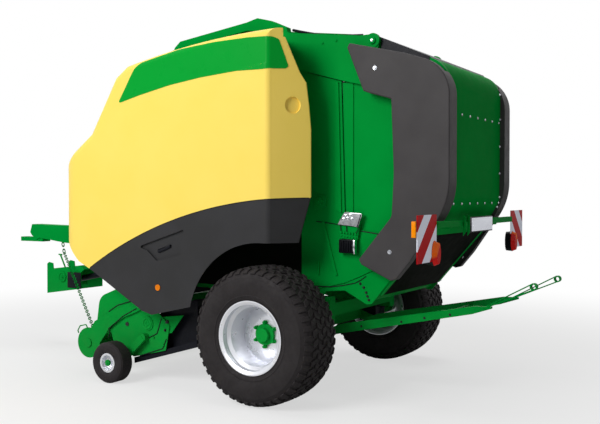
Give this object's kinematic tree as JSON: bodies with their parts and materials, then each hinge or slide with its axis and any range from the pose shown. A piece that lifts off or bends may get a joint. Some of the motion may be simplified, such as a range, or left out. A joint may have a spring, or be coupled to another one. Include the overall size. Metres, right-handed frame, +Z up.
{
  "type": "round baler",
  "caption": "Trailed round baler: wheels, lifting side hoods, tailgate with rams, lifting pickup with tined reel and gauge wheels, crop roller and bale ejector.",
  "frame": {"origin": "on the ground below the middle of the whole machine", "axes": "+Z up, +Y to the rear, +X to the machine's left side"},
  "size_m": [2.8664, 6.4159, 3.3921],
  "materials": {
    "tyre_rubber": "matt",
    "rim_silver": "satin",
    "hood_yellow": "gloss",
    "lower_hood_grey": "satin",
    "cover_grey": "satin",
    "black_plastic": "satin",
    "belt_rubber": "matt",
    "dark_steel": "satin",
    "chrome_rod": "polished",
    "board_red_white": "satin",
    "lamp_red": "gloss",
    "bare_steel": "satin",
    "green_paint": "gloss"
  },
  "bodies": {
    "chassis": {"axle": "green_paint", "chamber_rollers": "green_paint", "chassis_frame": "green_paint", "drawbar": "green_paint", "drive_shaft": "black_plastic", "front_belts": "belt_rubber", "front_cover": "lower_hood_grey", "front_deck": "green_paint", "gearbox": "green_paint", "input_shaft": "bare_steel", "parking_jack": "green_paint", "pto_guard": "green_paint", "side_wall_left": "green_paint", "side_wall_right": "green_paint", "top_band_left": "green_paint", "top_band_right": "green_paint", "tow_eye": "green_paint"},
    "hood_left": {"hood_upper_left": "hood_yellow", "hood_lower_left": "lower_hood_grey"},
    "hood_right": {"hood_upper_right": "hood_yellow", "hood_lower_right": "lower_hood_grey"},
    "tailgate": {"tailgate_side_left": "green_paint", "tailgate_side_right": "green_paint", "tailgate_skin": "green_paint", "tailgate_roof": "black_plastic", "tailgate_cover_left": "cover_grey", "tailgate_cover_right": "cover_grey", "lamp_bar": "green_paint", "warning_boards": "board_red_white", "rear_lamps": "lamp_red", "tailgate_rollers": "green_paint", "rear_belts": "belt_rubber"},
    "ram_barrel_left": {"ram_barrel_left": "dark_steel"},
    "ram_barrel_right": {"ram_barrel_right": "dark_steel"},
    "ram_rod_left": {"ram_rod_left": "chrome_rod"},
    "ram_rod_right": {"ram_rod_right": "chrome_rod"},
    "wheel_left": {"tyre_left": "tyre_rubber", "wheel_rim_left": "rim_silver", "wheel_hub_left": "green_paint"},
    "wheel_right": {"tyre_right": "tyre_rubber", "wheel_rim_right": "rim_silver", "wheel_hub_right": "green_paint"},
    "pickup": {"pickup_frame": "green_paint", "pickup_bands": "green_paint"},
    "reel": {"pickup_reel": "dark_steel"},
    "gauge_wheel_left": {"gauge_tyre_left": "tyre_rubber", "gauge_rim_left": "rim_silver"},
    "gauge_wheel_right": {"gauge_tyre_right": "tyre_rubber", "gauge_rim_right": "rim_silver"},
    "crop_press": {"crop_roller": "green_paint"},
    "ejector": {"ejector_fork": "green_paint"}
  },
  "joints": [
    {"name": "wheel_left_spin", "type": "hinge", "parent": "chassis", "child": "wheel_left", "pos_m": [1.178, 1.159, 0.582], "axis": [1, 0, 0], "continuous": true},
    {"name": "wheel_right_spin", "type": "hinge", "parent": "chassis", "child": "wheel_right", "pos_m": [-1.178, 1.159, 0.582], "axis": [1, 0, 0], "continuous": true},
    {"name": "tailgate_lift", "type": "hinge", "parent": "chassis", "child": "tailgate", "pos_m": [0, 1.918, 3.044], "axis": [1, 0, 0], "range_deg": [0, 62]},
    {"name": "hood_left_lift", "type": "hinge", "parent": "chassis", "child": "hood_left", "pos_m": [0.712, 0.459, 3.1], "axis": [0, -1, 0], "range_deg": [0, 60]},
    {"name": "hood_right_lift", "type": "hinge", "parent": "chassis", "child": "hood_right", "pos_m": [-0.712, 0.459, 3.1], "axis": [0, 1, 0], "range_deg": [0, 60]},
    {"name": "pickup_lift", "type": "hinge", "parent": "chassis", "child": "pickup", "pos_m": [0, -0.131, 0.64], "axis": [-1, 0, 0], "range_deg": [0, 12]},
    {"name": "reel_spin", "type": "hinge", "parent": "pickup", "child": "reel", "pos_m": [0, -0.501, 0.52], "axis": [1, 0, 0], "continuous": true},
    {"name": "gauge_left_spin", "type": "hinge", "parent": "pickup", "child": "gauge_wheel_left", "pos_m": [1.253, -0.511, 0.19], "axis": [1, 0, 0], "continuous": true},
    {"name": "gauge_right_spin", "type": "hinge", "parent": "pickup", "child": "gauge_wheel_right", "pos_m": [-1.253, -0.511, 0.19], "axis": [1, 0, 0], "continuous": true},
    {"name": "crop_press_lift", "type": "hinge", "parent": "pickup", "child": "crop_press", "pos_m": [0, -0.341, 0.69], "axis": [-1, 0, 0], "range_deg": [0, 18]},
    {"name": "ejector_tilt", "type": "hinge", "parent": "chassis", "child": "ejector", "pos_m": [0, 1.359, 0.505], "axis": [1, 0, 0], "range_deg": [-22, 4]},
    {"name": "ram_left_swing", "type": "hinge", "parent": "chassis", "child": "ram_barrel_left", "pos_m": [0.63, 1.404, 1.7], "axis": [1, 0, 0], "range_deg": [-5.28, 0]},
    {"name": "ram_left_slide", "type": "slide", "parent": "ram_barrel_left", "child": "ram_rod_left", "axis": [0, 0.2002, 0.9798], "range_m": [-0.2183, 0]},
    {"name": "ram_right_swing", "type": "hinge", "parent": "chassis", "child": "ram_barrel_right", "pos_m": [-0.63, 1.404, 1.7], "axis": [1, 0, 0], "range_deg": [-5.28, 0]},
    {"name": "ram_right_slide", "type": "slide", "parent": "ram_barrel_right", "child": "ram_rod_right", "axis": [0, 0.2002, 0.9798], "range_m": [-0.2183, 0]}
  ],
  "couplings": [
    {"joint": "ram_left_swing", "follows": "tailgate_lift", "ratio": -0.08349},
    {"joint": "ram_left_slide", "follows": "tailgate_lift", "m_per_rad": -0.19774},
    {"joint": "ram_right_swing", "follows": "tailgate_lift", "ratio": -0.08349},
    {"joint": "ram_right_slide", "follows": "tailgate_lift", "m_per_rad": -0.19774}
  ]
}
